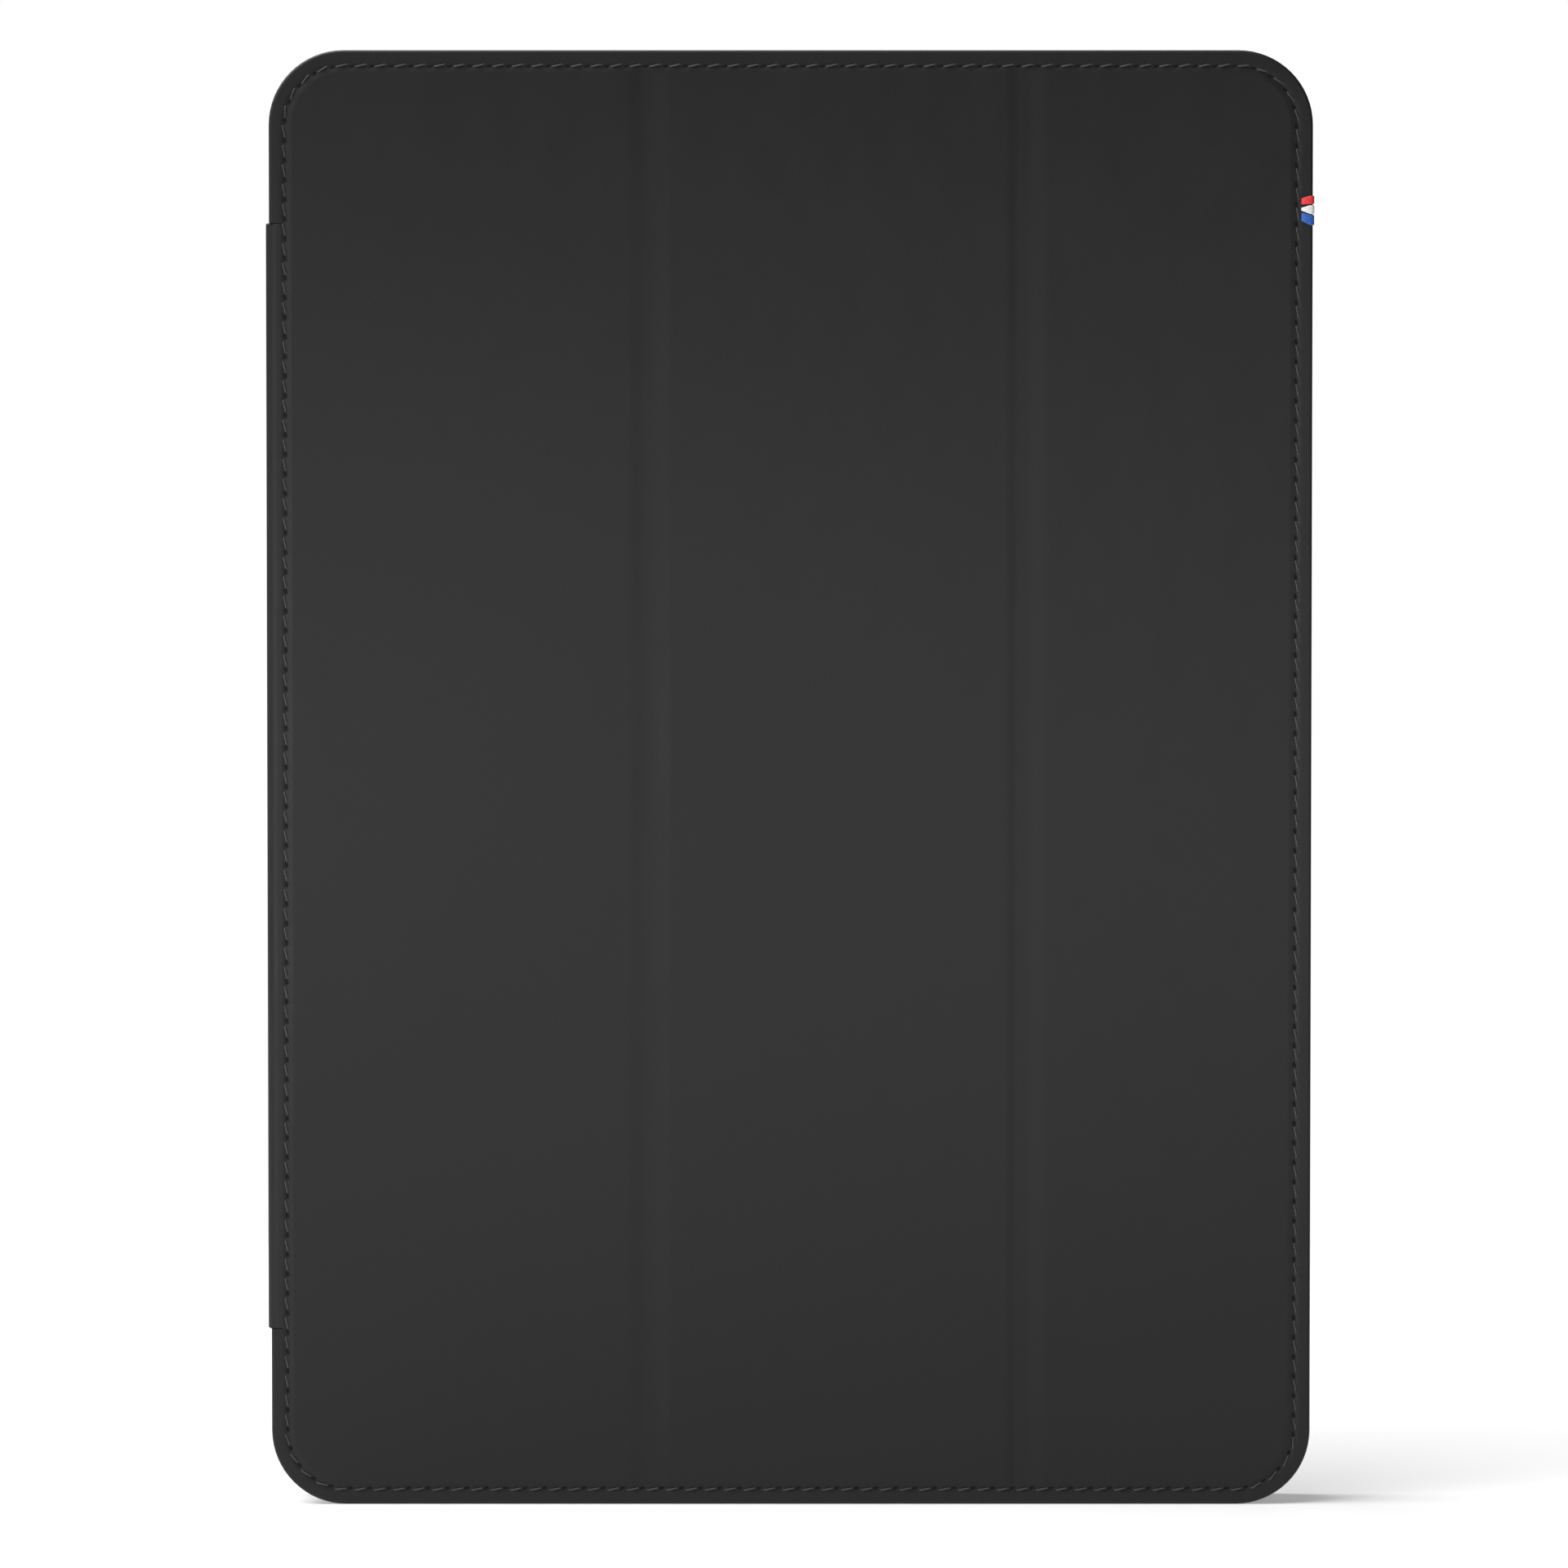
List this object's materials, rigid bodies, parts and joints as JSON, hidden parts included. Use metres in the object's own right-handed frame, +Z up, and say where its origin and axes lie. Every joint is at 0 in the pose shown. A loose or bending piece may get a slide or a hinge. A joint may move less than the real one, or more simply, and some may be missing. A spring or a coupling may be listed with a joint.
{
  "type": "tablet case",
  "caption": "Leather folio case for a tablet: a hard tray on a stitched back panel, with a three-panel cover that opens on a soft spine and folds into a stand.",
  "frame": {"origin": "centre of the closed case's box at its lower short edge, on the surface that it stands on", "axes": "+Z up along the long side; +Y from the cover through to the back; +X to the right of the closed cover"},
  "size_m": [0.1768, 0.0154, 0.246],
  "materials": {
    "leather": "smooth black cowhide with a fine grain and a satin face",
    "lining_cloth": "dark grey suede-like microfibre cloth",
    "board": "plain stiff fibre-filled board, out of sight",
    "tray_plastic": "moulded black polycarbonate with a fine texture",
    "thread": "waxed charcoal thread",
    "steel": "plain cold-rolled strip, out of sight",
    "magnet": "nickel plating, out of sight",
    "red_thread": "red thread",
    "white_thread": "white thread",
    "blue_thread": "blue thread"
  },
  "bodies": {
    "shell": {"tray_shell": "tray_plastic", "tray_lining": "lining_cloth", "back_leather": "leather", "back_board": "board", "back_stitching": "thread"},
    "spine": {"spine_leather": "leather", "spine_board": "board", "spine_lining": "lining_cloth", "back_hinge_leather": "leather", "back_hinge_lining": "lining_cloth"},
    "panel_1": {"panel_1_leather": "leather", "panel_1_board": "board", "panel_1_lining": "lining_cloth", "panel_1_stitching": "thread", "panel_1_steel_strip": "steel", "front_hinge_leather": "leather", "front_hinge_lining": "lining_cloth"},
    "panel_2": {"panel_2_leather": "leather", "panel_2_board": "board", "panel_2_lining": "lining_cloth", "panel_2_stitching": "thread", "fold_1_leather": "leather", "fold_1_lining": "lining_cloth", "fold_1_stitching": "thread"},
    "panel_3": {"panel_3_leather": "leather", "panel_3_board": "board", "panel_3_lining": "lining_cloth", "panel_3_stitching": "thread", "panel_3_magnets": "magnet", "fold_2_leather": "leather", "fold_2_lining": "lining_cloth", "fold_2_stitching": "thread", "edge_thread_red": "red_thread", "edge_thread_white": "white_thread", "edge_thread_blue": "blue_thread"}
  },
  "joints": [
    {"name": "spine_back_fold", "type": "hinge", "parent": "shell", "child": "spine", "pos_m": [-0.08725, 0.00647, 0.123], "axis": [0, 0, -1], "range_deg": [0, 180], "deforming": ["back_hinge_leather", "back_hinge_lining"]},
    {"name": "spine_front_fold", "type": "hinge", "parent": "spine", "child": "panel_1", "pos_m": [-0.08725, -0.00617, 0.123], "axis": [0, 0, -1], "range_deg": [0, 90], "deforming": ["front_hinge_leather", "front_hinge_lining"]},
    {"name": "cover_fold_1", "type": "hinge", "parent": "panel_1", "child": "panel_2", "pos_m": [-0.02379, -0.00668, 0.123], "axis": [0, 0, -1], "range_deg": [0, 131], "deforming": ["fold_1_leather", "fold_1_lining", "fold_1_stitching"]},
    {"name": "cover_fold_2", "type": "hinge", "parent": "panel_2", "child": "panel_3", "pos_m": [0.03993, -0.00668, 0.123], "axis": [0, 0, -1], "range_deg": [0, 123], "deforming": ["fold_2_leather", "fold_2_lining", "fold_2_stitching"]}
  ]
}
